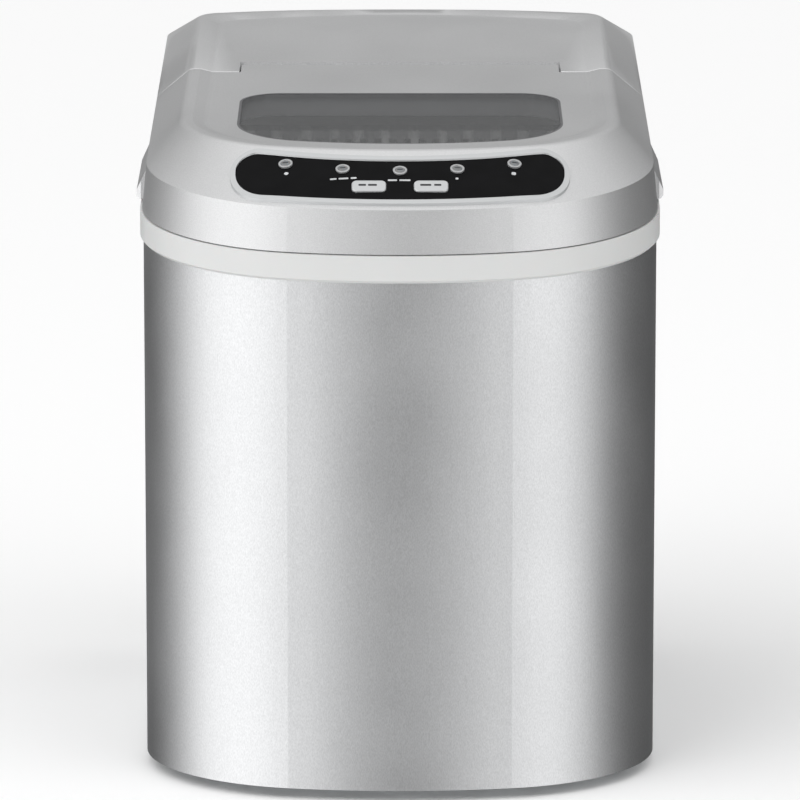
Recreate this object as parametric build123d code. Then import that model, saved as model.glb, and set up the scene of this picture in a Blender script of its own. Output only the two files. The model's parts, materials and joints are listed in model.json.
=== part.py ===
from build123d import *
import math
import os

# Countertop ice maker. Millimetres, +Z up, front faces -Y.
# The origin is on the floor, under the centre of the cabinet.

# ---- cabinet outline: a shallow front arc, two corner arcs, straight sides ----
width = 241.0
depth = 358.0
nose_radius = 240.0
corner_radius = 88.0
rear_radius = 26.0

# ---- heights at the front face, from the floor up ----
foot_height = 5.0
body_height = 233.5
band_height = 12.5
skirt_height = 19.6
fascia_rise = 23.2
fascia_run = 37.2
seam_slope = 0.113
band_slope = 0.118
shoulder_slope = 0.135
plateau_slope = 0.1085

# ---- sheet and wall thicknesses ----
wrap_wall = 1.2
wrap_inset = 1.5
pan_wall = 2.0
pan_floor = 3.0
pan_rim = 17.0
frame_wall = 3.0
tub_wall = 2.0
lid_wall = 2.5
panel_wall = 2.0
clearance = 0.3
running = 0.05
lid_gap = 0.5
band_chamfer = 1.3
deck_rib = 8.0

# ---- lid ----
skirt_inset = 1.0
shoulder_inset = 3.1
plateau_inset = 19.1
plateau_nose = 222.0
plateau_corner = 60.0
plateau_rear_gap = 3.0
plateau_rear_bow = 12.0
plateau_rear_corner = 12.0
ridge_round = 5.0
dish_depth = 1.5
dish_inset = 5.0
dish_run = 6.0
dish_round = 9.0
tab_half = 76.9
tab_gap = 0.8
hinge_radius = 5.2
hinge_pin_radius = 2.0
hinge_pin_length = 19.0
cheek_length = 7.0
grip_proud = 3.0
grip_height = 15.0
grip_length = 60.0
grip_front = 98.0
skirt_drop = 4.0
pocket_wall = 2.0
bulkhead_gap = 3.0

# ---- window ----
window_half = 74.5
window_length = 103.5
window_nose = 200.0
window_corner = 36.0
window_rear_corner = 18.0
window_setback = 19.5
window_thick = 2.2
gasket_wall = 1.2
well_depth = 9.0
well_wall = 1.6
liner_rim = 12.0

# ---- control panel ----
panel_half = 74.6
panel_top = 8.4
panel_top_radius = 190.0
panel_bottom = 32.3
panel_end_radius = 18.0
panel_tip_radius = 8.0
overlay_thick = 0.6
bezel_wall = 2.4
bezel_proud = 1.1
led_count = 5
led_pitch = 25.9
led_radius = 3.0
led_run = 13.9
led_bow = 2.1
led_length = 6.0
button_length = 15.6
button_height = 7.8
button_corner = 2.4
button_offset = 14.0
button_run = 23.1
button_proud = 1.4
button_depth = 8.0
board_thick = 1.6
board_drop = 9.6
board_length = 118.0
board_width = 24.0
key_switch = 6.0
key_switch_height = 2.4

# ---- tub, basket, ramp ----
tub_inset = 18.0
bay_foam = 8.0
bay_gap = 4.1
tub_floor_z = 60.0
tub_rear_corner = 8.0
flange_width = 5.0
flange_thick = 2.0
basket_wall = 2.0
basket_height = 76.0
basket_side_gap = 6.0
basket_drop = 11.0
basket_back_gap = 4.0
basket_slot = 7.0
basket_slot_length = 40.0
basket_slot_setback = 31.0
basket_corner = 14.0
basket_lip = 2.5
basket_lip_height = 3.0
ledge_width = 12.0
ledge_length = 60.0
ledge_thick = 4.0
ramp_thick = 2.0
ramp_slope = 0.09
ramp_gap = 4.0
ramp_slot_count = 9
ramp_slot_pitch = 20.0
ramp_slot_width = 6.0
ramp_margin = 12.0
scoop_length = 62.0
scoop_width = 48.0
scoop_height = 26.0
scoop_wall = 1.8
scoop_round = 8.0
scoop_set_back = 8.0
handle_length = 76.0
handle_width = 16.0
handle_thick = 5.0
handle_rise = 20.0
sensor_length = 12.0
sensor_height = 16.0
sensor_proud = 7.0
sensor_above = 16.0
probe_radius = 2.0
probe_spread = 16.0
probe_x = -50.0
probe_top = 40.0
insulation_floor = 12.0
insulation_gap = 0.5

# ---- evaporator and tray; the tray pivot places them all ----
sweep_gap = 0.4
wall_gap = 3.55
pivot_above_seam = 9.5
finger_radius = 4.5
finger_length = 37.0
finger_pitch = 27.0
finger_front_count = 5
finger_rear_count = 4
finger_front_y = -24.0
finger_rear_y = -2.0
manifold_radius = 5.0
manifold_above = 9.0
manifold_overhang = 11.5
finger_round = 3.5
finger_collar = 1.0
tray_rear = 21.0
finger_gap = 1.5
tray_rim = 8.0
tray_half = 75.0
tray_wall = 1.5
tray_round = 8.0
tray_ear = 7.0
tray_ear_drop = 12.0
tray_pin_radius = 2.0
tooth_count = 10
tooth_pitch = 15.0
tooth_width = 5.0
tooth_thick = 1.5
cheek_half = 79.0
cheek_wall = 3.0
cover_gap = 4.0
cover_front = 8.0
cover_rise = 14.0
cover_round = 6.0
cover_groove_count = 22
cover_groove_pitch = 7.0
cover_groove_width = 3.2
gear_box_thick = 9.0
gear_box_length = 36.0
gear_box_round = 5.0
gear_drum_radius = 12.0
gear_drum_proud = 5.0
line_radius = 3.0
line_half = 60.0
line_gap = 3.5
line_bend = 6.0
line_set_back = 24.0

# ---- refrigeration in the rear bay ----
compressor_radius = 45.0
compressor_height = 138.0
seam_height = 85.5
terminal_height = 58.0
compressor_x = 44.0
compressor_gap = 5.0
compressor_round = 16.0
compressor_seam = 1.5
terminal_box = (14.0, 30.0, 34.0)
grommet_height = 8.0
grommet_radius = 7.0
grommet_bore = 3.0
condenser_depth = 22.0
condenser_length = 74.0
condenser_height = 118.0
condenser_floor = 24.0
condenser_runs = 4
condenser_gap = 4.0
condenser_tube_radius = 3.2
fin_count = 15
fin_thick = 0.8
fan_radius = 40.0
fan_hub_radius = 13.0
fan_depth = 14.0
fan_blades = 5
fan_pitch = 32.0
shroud_wall = 2.0
fan_motor_radius = 18.0
fan_motor_length = 26.0
fan_shaft_radius = 2.0
fan_tip_gap = 2.0
blade_thick = 1.4
blade_width = 18.0
blade_root = 3.0
spoke_count = 3
spoke_width = 5.0
motor_mount_bore = 12.0
drier_radius = 8.0
drier_length = 62.0
drier_tail = 14.0
drier_x = -34.0
valve_body = (22.0, 20.0, 26.0)
valve_tail_radius = 6.0
discharge_radius = 2.6
discharge_bend = 7.0

# ---- water and electrics ----
pump_body = (36.0, 44.0, 26.0)
pump_neck_radius = 4.0
pump_outlet_radius = 3.0
pump_outlet_rise = 14.0
pump_outlet_shift = 10.0
pump_set_back = 90.0
hose_radius = 3.9
hose_wall = 0.85
hose_bend = 4.2
hose_x = 6.0
hose_channel = 8.0
drain_radius = 4.9
drain_wall = 1.3
drain_bend = 9.0
drain_set_back = 22.0
box_thick = 22.0
box_length = 76.0
box_height = 80.0
box_wall = 2.0
box_drop = 96.0
main_board_gap = 5.0
parts_on_board = (
    (12, 14, 12, 18, 10), (30, 16, 12, 18, 10), (52, 20, 20, 24, 11), (16, 52, 20, 8, 8), (46, 56, 24, 8, 8))
post = 4.0

# ---- rear panel and its fittings ----
panel_recess = 8.0
recess_half = 86.0
wrap_return_gap = 2.0
slots_above_middle = 12.0
vane_thick = 1.4
grille_margin = 5.0
recess_low = 30.0
recess_high = 30.0
slot_count = 14
slot_height = 4.0
slot_pitch = 9.0
slot_half = 52.0
gland_radius = 9.0
gland_bore = 4.0
gland_flange = 12.0
gland_back = 7.0
gland_front = 5.0
gland_lip = 2.0
gland_nut = 4.0
gland_in = 22.0
gland_up = 20.0
spout_radius = 8.0
spout_bore = 5.0
spout_length = 14.0
spout_lip = 1.5
spout_flange = 2.5
spout_up = 12.0
plug_head_radius = 10.5
plug_head = 5.0
plug_shank = 10.0
plug_chamfer = 0.8
plug_ridge_length = 14.0
plug_ridge_width = 3.2
foot_radius = 12.0
foot_chamfer = 1.0
foot_in = 36.0
foot_front = 62.0
foot_back = 26.0
screw_radius = 2.0
screw_head_radius = 3.6
screw_head = 1.6
screw_margin = 6.0

big = 4 * (width + depth)

# ---- places worked out from the sizes above ----
half = width / 2
plateau_half = half - plateau_inset
wrap_inner = wrap_inset + wrap_wall
front_y = -depth / 2
rear_y = depth / 2
seam_z = foot_height + body_height
band_z = seam_z + band_height
lid_z = band_z + lid_gap
shoulder_z = lid_z + skirt_height
crease_z = shoulder_z + fascia_rise
crease_y = front_y + shoulder_inset + fascia_run
fascia_slope = fascia_rise / fascia_run
fascia_tilt = math.degrees(math.atan(fascia_slope))
compressor_y = rear_y - wrap_inner - panel_recess - wrap_wall - compressor_gap - compressor_radius
bay_front = compressor_y - compressor_radius - bay_gap
tub_back = bay_front - bay_foam
hinge_y = tub_back - 13.0
split_y = tub_back - 29.0
pan_top = foot_height + pan_rim
floor_top = foot_height + pan_floor
finger_drop = finger_length + manifold_radius - manifold_above
tray_floor = finger_drop + finger_gap
tray_front = math.hypot(finger_radius - finger_front_y, finger_drop) + sweep_gap
tray_reach = math.hypot(tray_front + tray_wall, tray_floor + tray_wall)
tray_back_reach = math.hypot(tray_rear + tray_wall, tray_floor + tray_wall)
pivot_y = tub_back - tub_wall - wall_gap - tray_back_reach
pivot_z = seam_z + pivot_above_seam
panel_y = rear_y - wrap_inner - panel_recess


def rising(z_at_front, slope):
    # a plane that climbs to the rear, z_at_front high at the front face
    run = math.hypot(1, slope)
    return Plane(origin=(0, front_y, z_at_front), x_dir=(1, 0, 0), z_dir=(0, -slope / run, 1 / run))


def rise_at(z_at_front, slope, y):
    return z_at_front + slope * (y - front_y)


def below(plane):
    return plane.location * Pos(0, 0, -big / 2) * Box(big, big, big)


def above(plane):
    return plane.location * Pos(0, 0, big / 2) * Box(big, big, big)


def block(x0, x1, y0, y1, z0, z1):
    return Pos((x0 + x1) / 2, (y0 + y1) / 2, (z0 + z1) / 2) * Box(x1 - x0, y1 - y0, z1 - z0)


def arch(half_width, front, back, nose, corner, rear, bow=0.0):
    # a face with a three-arc front, straight sides and a rear edge that may bow outwards
    corner_y = front + nose - math.sqrt((nose - corner) ** 2 - (half_width - corner) ** 2)
    reach = nose / (nose - corner)
    touch_x = (half_width - corner) * reach
    touch_y = front + nose + (corner_y - front - nose) * reach
    turn = math.atan2(half_width - corner, front + nose - corner_y) / 2 + math.pi / 4
    mid_x = half_width - corner + corner * math.sin(turn)
    mid_y = corner_y - corner * math.cos(turn)
    side_y = back - bow - rear
    diagonal = rear * (1 - math.sqrt(0.5))
    edges = [
        ThreePointArc((-touch_x, touch_y), (0, front), (touch_x, touch_y)),
        ThreePointArc((touch_x, touch_y), (mid_x, mid_y), (half_width, corner_y)),
        Line((half_width, corner_y), (half_width, side_y)),
        ThreePointArc(
            (half_width, side_y),
            (half_width - diagonal, side_y + rear - diagonal),
            (half_width - rear, side_y + rear),
        ),
    ]
    if bow > 0:
        edges.append(ThreePointArc(
            (half_width - rear, back - bow), (0, back), (rear - half_width, back - bow)))
    else:
        edges.append(Line((half_width - rear, back), (rear - half_width, back)))
    edges += [
        ThreePointArc(
            (rear - half_width, side_y + rear),
            (diagonal - half_width, side_y + rear - diagonal),
            (-half_width, side_y),
        ),
        Line((-half_width, side_y), (-half_width, corner_y)),
        ThreePointArc((-half_width, corner_y), (-mid_x, mid_y), (-touch_x, touch_y)),
    ]
    return make_face(Wire(edges))


def outline(inset, back=None, rear=None):
    # the cabinet's plan moved in by inset all round
    return arch(
        half - inset,
        front_y + inset,
        rear_y - inset if back is None else back,
        nose_radius - inset,
        corner_radius - inset,
        max(rear_radius - inset, 2.0) if rear is None else rear,
    )


def prism(face, z0, z1):
    return extrude(Pos(0, 0, z0) * face, z1 - z0)


def pipe(points, radius, bend, bore=0.0):
    path = FilletPolyline(*points, radius=bend)
    ring = Circle(radius)
    if bore > 0:
        ring = ring - Circle(bore)
    return sweep(Plane(origin=path @ 0, z_dir=path % 0) * ring, path=path)


def rod(radius, start, end):
    start = Vector(*start)
    end = Vector(*end)
    axis = end - start
    return Plane(origin=start, z_dir=axis) * extrude(Circle(radius), axis.length)


def line_holes():
    # clearance for the refrigerant lines and the water hose between the rear bay and the tub
    return [
        rod(radius + clearance, (x, tub_back - 5 * tub_wall, line_z), (x, tub_back + 10 * tub_wall, line_z))
        for x, radius in ((-line_half, line_radius), (line_half, line_radius), (hose_x, hose_radius))
    ]


def mirror_x(shape):
    return mirror(shape, about=Plane.YZ)


def write(name, *shapes):
    solids = []
    for shape in shapes:
        solids += shape.solids()
    result = solids[0] if len(solids) == 1 else Compound(children=solids)
    export_step(result, f"parts/{name}.step")


# ---- cabinet ----

seam_plane = rising(seam_z, seam_slope)
band_plane = rising(band_z, band_slope)
plateau_plane_z = crease_z - plateau_slope * (crease_y - front_y)
plateau_plane = rising(plateau_plane_z, plateau_slope)
grille_z = (floor_top + condenser_floor, floor_top + condenser_floor + condenser_height)
condenser_back = rear_y - wrap_inner - rear_radius
condenser_front = condenser_back - condenser_length
foot_spots = [
    (sx * (half - foot_in), y) for sx in (-1, 1) for y in (front_y + foot_front, rear_y - foot_back)
]


def make_base_pan():
    # shallow tray that carries the compressor, with holes for the foot screws
    outer = prism(outline(wrap_inner), foot_height, pan_top)
    inner = prism(outline(wrap_inner + pan_wall), floor_top, pan_top + 1)
    pan = outer - inner
    for x, y in foot_spots:
        pan -= rod(screw_radius + running, (x, y, 0), (x, y, floor_top + 1))
    return pan


def make_feet():
    feet = []
    for x, y in foot_spots:
        foot = Pos(x, y, foot_height / 2) * Cylinder(foot_radius, foot_height)
        foot = chamfer(foot.edges().group_by(Axis.Z)[0], foot_chamfer)
        foot -= rod(screw_radius + running, (x, y, foot_height / 2), (x, y, foot_height + 1))
        feet.append(foot)
    return feet


def make_foot_screws():
    screws = []
    for x, y in foot_spots:
        shank = rod(screw_radius, (x, y, foot_height / 2), (x, y, floor_top + screw_head / 2))
        head = rod(screw_head_radius, (x, y, floor_top), (x, y, floor_top + screw_head))
        screws.append(shank + head)
    return screws


def make_body_wrap():
    # one bent sheet round the front and sides, returned round the rear corners
    shell = prism(outline(wrap_inset), foot_height, height_limit)
    shell -= prism(outline(wrap_inner), foot_height - 1, height_limit + 1)
    shell &= below(seam_plane)
    opening = recess_half + wrap_return_gap
    shell -= block(-opening, opening, rear_y - rear_radius, rear_y, 0, height_limit)
    grille = block(-half - 1, 5 * wrap_wall - half, condenser_front, condenser_back, *grille_z)
    return shell - grille


def make_outlet_grille():
    # louvred panel that fills the opening beside the condenser
    x0 = -half + wrap_inset
    gap = clearance
    frame = block(
        x0, x0 + 3 * wrap_wall, condenser_front + gap, condenser_back - gap,
        grille_z[0] + gap, grille_z[1] - gap)
    margin = grille_margin
    frame -= block(
        x0 - 1, x0 + 4 * wrap_wall, condenser_front + margin, condenser_back - margin,
        grille_z[0] + margin, grille_z[1] - margin)
    low = grille_z[0] + margin
    span = grille_z[1] - grille_z[0] - 2 * margin
    for i in range(slot_count - 1):
        z = low + (i + 0.5) * span / (slot_count - 1)
        vane = Box(3 * wrap_wall, condenser_length - 2 * margin + 1, vane_thick)
        y = (condenser_front + condenser_back) / 2
        frame += Pos(x0 + 1.5 * wrap_wall, y, z) * vane
    return frame


def make_rear_panel():
    # pressed panel: flat border behind the wrap's returns, recessed middle with intake slots
    y1 = rear_y - wrap_inner
    top_z = rise_at(seam_z, seam_slope, rear_y - panel_recess) - clearance
    reach = half - rear_radius - wrap_inner
    low = pan_top + clearance
    border = block(-reach, reach, y1 - wrap_wall, y1, low, top_z)
    dish = block(-recess_half, recess_half, panel_y - wrap_wall, y1, recess_low, top_z - recess_high)
    hollow = block(
        wrap_wall - recess_half, recess_half - wrap_wall, panel_y, y1 + 1,
        recess_low + wrap_wall, top_z - recess_high - wrap_wall)
    panel = border + dish - hollow
    middle = (recess_low + top_z - recess_high) / 2 + slots_above_middle
    for i in range(slot_count):
        z = middle + (i - (slot_count - 1) / 2) * slot_pitch
        slot = Plane.XZ * SlotOverall(2 * slot_half, slot_height)
        panel -= Pos(0, panel_y + 1, z) * extrude(slot, 4)
    for x, z, radius in ((gland_x, gland_z, gland_radius), (spout_x, spout_z, spout_radius)):
        panel -= rod(radius, (x, panel_y - 5, z), (x, panel_y + 1, z))
    for x, z in panel_screw_spots:
        panel -= rod(screw_radius + running, (x, y1 - 3, z), (x, y1 + 3, z))
    return panel


def make_panel_screws():
    screws = []
    face = rear_y - wrap_inner
    for x, z in panel_screw_spots:
        shank = rod(screw_radius, (x, face - 8, z), (x, face + screw_head / 4, z))
        head = rod(screw_head_radius, (x, face, z), (x, face + screw_head, z))
        screws.append(shank + head)
    return screws


def make_cord_gland():
    back = panel_y - gland_back
    front = panel_y + gland_front
    body = rod(gland_radius, (gland_x, back, gland_z), (gland_x, front, gland_z))
    body += rod(gland_flange, (gland_x, panel_y, gland_z), (gland_x, panel_y + gland_lip, gland_z))
    nut = Plane.XZ * RegularPolygon(gland_flange, 6)
    body += Pos(gland_x, panel_y - wrap_wall, gland_z) * extrude(nut, gland_nut)
    return body - rod(gland_bore, (gland_x, back - 1, gland_z), (gland_x, front + 1, gland_z))


def make_drain_spout():
    back = panel_y - spout_length
    front = panel_y + spout_lip
    spout = rod(spout_radius, (spout_x, back, spout_z), (spout_x, front, spout_z))
    spout += rod(spout_radius + spout_flange, (spout_x, panel_y, spout_z), (spout_x, front, spout_z))
    return spout - rod(spout_bore, (spout_x, back - 1, spout_z), (spout_x, front + 1, spout_z))


def make_drain_plug():
    # push-in stopper with a finger ridge
    seat = panel_y + spout_lip + clearance
    head = rod(plug_head_radius, (spout_x, seat, spout_z), (spout_x, seat + plug_head / 2, spout_z))
    head = chamfer(head.edges().group_by(Axis.Y)[-1], plug_chamfer)
    ridge = Pos(spout_x, seat + plug_head / 2, spout_z) * Box(
        plug_ridge_length, plug_head, plug_ridge_width)
    shank = rod(
        spout_bore - running, (spout_x, seat - plug_shank, spout_z), (spout_x, seat + 1, spout_z))
    return head + ridge + shank


def make_top_frame():
    # the pale band round the cabinet and the deck that the lid closes on
    ring = prism(outline(0), seam_z - 20, height_limit) & below(band_plane) & above(seam_plane)

    def on_seam(e):
        return abs(e.center().Z - rise_at(seam_z, seam_slope, e.center().Y)) < 0.4

    ring = chamfer(ring.edges().filter_by(on_seam), band_chamfer)
    deck = rising(band_z - frame_wall, band_slope)
    ring -= prism(outline(frame_wall), seam_z - 20, height_limit) & below(deck)
    ring -= prism(outline(tub_inset - clearance, tub_back + clearance, tub_rear_corner), 0, height_limit)
    rear_hole = prism(outline(wrap_inset + frame_wall + deck_rib), 0, height_limit)
    ring -= rear_hole & block(-half, half, tub_back + deck_rib, rear_y, 0, height_limit)
    for hole in line_holes():
        ring -= hole
    return ring


# ---- top moulding: one form, split into the lid and the rear cover ----

def form_face(plane, half_width, front, back, nose, corner, rear, bow=0.0):
    # an arch drawn on a rising plane; y is stretched so that its plan keeps its size
    stretch = 1 / plane.z_dir.Z
    return plane.location * arch(
        half_width, (front - front_y) * stretch, (back - front_y) * stretch, nose, corner, rear, bow)


def top_form(wall, floor_drop):
    skirt = skirt_inset + wall
    shoulder = shoulder_inset + wall
    lift = wall * 1.15
    side = wall * 0.75
    sections = [
        form_face(
            rising(lid_z - floor_drop, band_slope), half - skirt, front_y + skirt, rear_y - skirt,
            nose_radius - skirt, corner_radius - skirt, rear_radius - skirt),
        form_face(
            rising(shoulder_z - wall * 0.6, shoulder_slope), half - shoulder, front_y + shoulder,
            rear_y - shoulder, nose_radius - shoulder, corner_radius - shoulder,
            rear_radius - shoulder),
        form_face(
            rising(plateau_plane_z - lift, plateau_slope), plateau_half - side, crease_y + side,
            rear_y - plateau_rear_gap - side, plateau_nose - side, plateau_corner - side,
            plateau_rear_corner, plateau_rear_bow),
    ]
    return loft(sections, ruled=True)


def rounded_form():
    form = top_form(0, 0)

    def near_plateau(e):
        middle = e.position_at(0.5)
        return abs(middle.Z - rise_at(plateau_plane_z, plateau_slope, middle.Y)) < 0.3

    return fillet(form.edges().filter_by(near_plateau), ridge_round) - plateau_dish()


def plateau_dish():
    # the plateau lies a little below a soft rim along its edges
    above_share = 0.2
    sections = []
    for share in (-above_share, 1):
        inset = dish_inset + share * dish_run
        sections.append(form_face(
            rising(plateau_plane_z - share * dish_depth, plateau_slope), plateau_half - inset,
            crease_y + inset, rear_y - plateau_rear_gap - inset, plateau_nose - inset,
            plateau_corner - inset, plateau_rear_corner, plateau_rear_bow))
    dish = loft(sections, ruled=True)

    def on_floor(e):
        middle = e.position_at(0.5)
        return abs(middle.Z - rise_at(plateau_plane_z - dish_depth, plateau_slope, middle.Y)) < 0.1

    return fillet(dish.edges().filter_by(on_floor), dish_round)


dish_z = plateau_plane_z - dish_depth
hinge_z = rise_at(dish_z, plateau_slope, hinge_y) - hinge_radius / plateau_plane.z_dir.Z
notch_y = hinge_y + hinge_radius + tab_gap
height_limit = crease_z + depth


def window_face(grow):
    # the pane's outline in the plateau plane, grown by grow all round
    s0 = (crease_y + window_setback - front_y) / plateau_plane.z_dir.Z
    return arch(
        window_half + grow, s0 - grow, s0 + window_length + grow,
        window_nose + grow, window_corner + grow, window_rear_corner + grow)


def window_prism(grow, low, high):
    # low and high are measured from the plateau's floor
    return rising(dish_z, plateau_slope).location * prism(window_face(grow), low, high)


def panel_prism(grow):
    # control panel outline seen from above: a wide rounded band that follows the front arc
    band = arch(
        panel_half + grow, crease_y - panel_bottom - grow, crease_y + panel_half,
        nose_radius - panel_bottom / 5 + grow, panel_end_radius + grow, 2.0)
    top_radius = panel_top_radius - grow
    solid = prism(band, crease_z - 60, crease_z + 20)
    solid -= Pos(0, crease_y - panel_top + grow + top_radius, crease_z) * Cylinder(top_radius, 200)
    tips = solid.edges().filter_by(Axis.Z).group_by(Axis.Y)[-1]
    return fillet(tips, panel_tip_radius + grow)


def fascia_spot(x, run):
    # a frame on the fascia, run millimetres in front of the crease, facing outwards
    radius = plateau_nose + run
    turn = math.degrees(math.asin(x / radius))
    y = crease_y + plateau_nose - radius * math.cos(math.radians(turn))
    rise = shoulder_slope * (y - (crease_y - run))
    z = crease_z - run * fascia_slope + rise
    return Location((x, y, z)) * Rot(0, 0, turn) * Rot(fascia_tilt, 0, 0)


def led_spots():
    # the row bows a little more than the front does
    spots = []
    middle = (led_count - 1) / 2
    for i in range(led_count):
        share = (i - middle) / middle
        spots.append(fascia_spot((i - middle) * led_pitch, led_run - led_bow * share ** 2))
    return spots


def button_spot(side):
    return fascia_spot(0, button_run) * Pos(side * button_offset, 0, 0)


def button_prism(side, grow, low, high):
    face = RectangleRounded(button_length + 2 * grow, button_height + 2 * grow, button_corner + grow)
    return button_spot(side) * prism(face, low, high)


def grip_wedge():
    # flared finger catch low on the lid's side
    y0 = front_y + grip_front
    y1 = y0 + grip_length
    foot = rise_at(lid_z, band_slope, y0) + 1.2
    inner = half - shoulder_inset - 1.0
    tip = half + grip_proud - skirt_inset
    profile = Polyline(
        (inner, foot), (tip - 1.2, foot), (tip, foot + 1.4), (tip, foot + 4),
        (half - shoulder_inset, foot + grip_height), (inner, foot + grip_height), close=True)
    blade = Pos(0, y0, 0) * (Plane.XZ * make_face(profile))
    wedge = extrude(blade, grip_length, dir=(0, 1, band_slope))
    slope = Plane(origin=(half, y0, foot), z_dir=(-0.55, 1, 0))
    tail = Plane(origin=(half, y1, foot), z_dir=(-0.55, -1, 0))
    return wedge & above(slope) & above(tail)


def make_lid_shell():
    form = rounded_form()
    shell = form - top_form(lid_wall, skirt_drop)
    front = block(-half, half, front_y - 1, split_y, 0, height_limit)
    tab = block(-tab_half, tab_half, split_y - 20, hinge_y, 0, height_limit)
    lid = shell & (front + tab)
    barrel = rod(hinge_radius, (-tab_half, hinge_y, hinge_z), (tab_half, hinge_y, hinge_z))
    lid += barrel
    grip = grip_wedge() - top_form(lid_wall, skirt_drop)
    lid += grip + mirror_x(grip)
    for side in (-1, 1):
        inner = side * (tab_half - hinge_pin_length + cheek_length)
        lid -= rod(hinge_pin_radius, (inner, hinge_y, hinge_z), (side * half, hinge_y, hinge_z)) & block(
            -tab_half, tab_half, hinge_y - 10, hinge_y + 10, 0, height_limit)
        lid -= button_prism(side, clearance, -10, 10)
    lid -= window_prism(gasket_wall, -20, 20)
    for spot in led_spots():
        lid -= spot * Cylinder(led_radius, 20)
    return lid


def make_hinge_pins():
    pins = []
    for side in (-1, 1):
        outer = side * (tab_half + cheek_length)
        inner = side * (tab_half - hinge_pin_length + cheek_length)
        pins.append(rod(hinge_pin_radius, (inner, hinge_y, hinge_z), (outer, hinge_y, hinge_z)))
    return pins


def make_rear_cover():
    # fixed rear half of the top, with the hinge pocket and the wall behind the ice chamber
    form = rounded_form()
    shell = form - top_form(lid_wall, skirt_drop)
    lower = below(rising(band_z, band_slope))
    cover = shell & block(-half, half, split_y + tab_gap + 0.2, rear_y, 0, height_limit)
    notch = tab_half + tab_gap
    pocket_low = hinge_z - 2 * hinge_radius
    cover -= block(-notch, notch, split_y, notch_y, 0, height_limit)
    inside = form - lower
    wall_y = notch_y + pocket_wall
    wall = block(-notch - pocket_wall, notch + pocket_wall, notch_y, wall_y, pocket_low, height_limit)
    bulkhead_y = tub_back + bulkhead_gap
    bulkhead = block(-half, half, bulkhead_y, bulkhead_y + pocket_wall, 0, height_limit)
    cheek = block(
        notch, notch + cheek_length, notch_y - 2 * cheek_length + pocket_wall, wall_y, pocket_low,
        height_limit)
    cover += (wall + bulkhead + cheek + mirror_x(cheek)) & inside
    bore = hinge_pin_radius + running
    cover -= rod(bore, (-half + 20, hinge_y, hinge_z), (half - 20, hinge_y, hinge_z))
    for hole in line_holes():
        cover -= hole
    return cover


def make_lid_window():
    return window_prism(0, -window_thick, -0.2)


def make_window_gasket():
    return window_prism(gasket_wall, -window_thick, 0) - window_prism(0, -20, 20)


def make_lid_liner():
    # inner moulding: a plate under the plateau and the well wall round the pane
    roof = lid_wall * 1.15 + 0.4 - dish_depth
    plate = window_prism(liner_rim, -well_depth - panel_wall, -well_depth)
    well = window_prism(gasket_wall + well_wall, -well_depth - panel_wall, -roof)
    return plate + well - window_prism(gasket_wall, -40, 20)


def make_overlay():
    skin = top_form(-overlay_thick, 0) - top_form(0, 1)
    plate = skin & panel_prism(0)
    for side in (-1, 1):
        plate -= button_prism(side, clearance, -10, 10)
    for spot in led_spots():
        plate -= spot * Cylinder(led_radius, 20)
    return plate


def make_bezel():
    skin = top_form(-bezel_proud, 0) - top_form(0, 1)
    return skin & (panel_prism(bezel_wall) - panel_prism(0))


def make_led_lenses():
    high = overlay_thick + 0.5
    lenses = []
    for spot in led_spots():
        lens = Pos(0, 0, high - led_length / 2) * Cylinder(led_radius, led_length)
        lens = fillet(lens.edges().group_by(Axis.Z)[-1], 0.6)
        lenses.append(spot * lens)
    return lenses


def make_button(side):
    cap = RectangleRounded(button_length, button_height, button_corner)
    solid = prism(cap, -button_depth + 3, button_proud)
    solid = fillet(solid.edges().group_by(Axis.Z)[-1], 0.7)
    solid += prism(RectangleRounded(button_length - 6, 4, 1), -button_depth, -button_depth + 3)
    return button_spot(side) * solid


def make_display_board():
    # board under the fascia, with a key switch below each button
    spot = fascia_spot(0, (panel_top + panel_bottom) / 2)
    board = Pos(0, 0, -board_drop - board_thick / 2) * Box(board_length, board_width, board_thick)
    solid = spot * board
    for side in (-1, 1):
        switch = Pos(0, 0, -board_drop) * Box(key_switch, key_switch, key_switch_height / 2)
        solid += button_spot(side) * switch
    return solid


# ---- ice chamber ----

tub_front = front_y + tub_inset
basket_rim = pivot_z - tray_reach - basket_drop
basket_floor = basket_rim - basket_height
basket_back = pivot_y - tray_reach - basket_back_gap
line_z = pivot_z + tray_rear + tray_wall + line_gap + line_radius
cover_z = line_z + line_radius + cover_gap + panel_wall


def make_inner_tub():
    rim = rising(band_z + flange_thick, band_slope)
    flange_low = rising(band_z, band_slope)
    outer = prism(outline(tub_inset, tub_back, tub_rear_corner), tub_floor_z, height_limit)
    flange = prism(
        outline(tub_inset - flange_width, tub_back, tub_rear_corner), tub_floor_z, height_limit)
    inner = prism(
        outline(tub_inset + tub_wall, tub_back - tub_wall, tub_rear_corner - tub_wall),
        tub_floor_z + tub_wall, height_limit)
    solid = (outer & below(rim)) + (flange & below(rim) & above(flange_low))
    back = block(
        -cheek_half - 12, cheek_half + 12, tub_back - tub_wall, tub_back, tub_floor_z, cover_z)
    solid = solid - inner + back
    side = half - tub_inset - tub_wall
    for s in (-1, 1):
        ledge = block(
            min(s * (side - ledge_width), s * (side + 0.5)), max(s * (side - ledge_width), s * (side + 0.5)),
            basket_back - ledge_length, basket_back, basket_floor - clearance - ledge_thick,
            basket_floor - clearance)
        solid += ledge & outer
    for hole in line_holes():
        solid -= hole
    above_floor = tub_floor_z + 2 * tub_wall
    solid -= rod(spout_bore, (spout_x, drain_y, 0), (spout_x, drain_y, above_floor))
    return solid - rod(pump_neck_radius + clearance, (pump_x, pump_y, 0), (pump_x, pump_y, above_floor))


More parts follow.
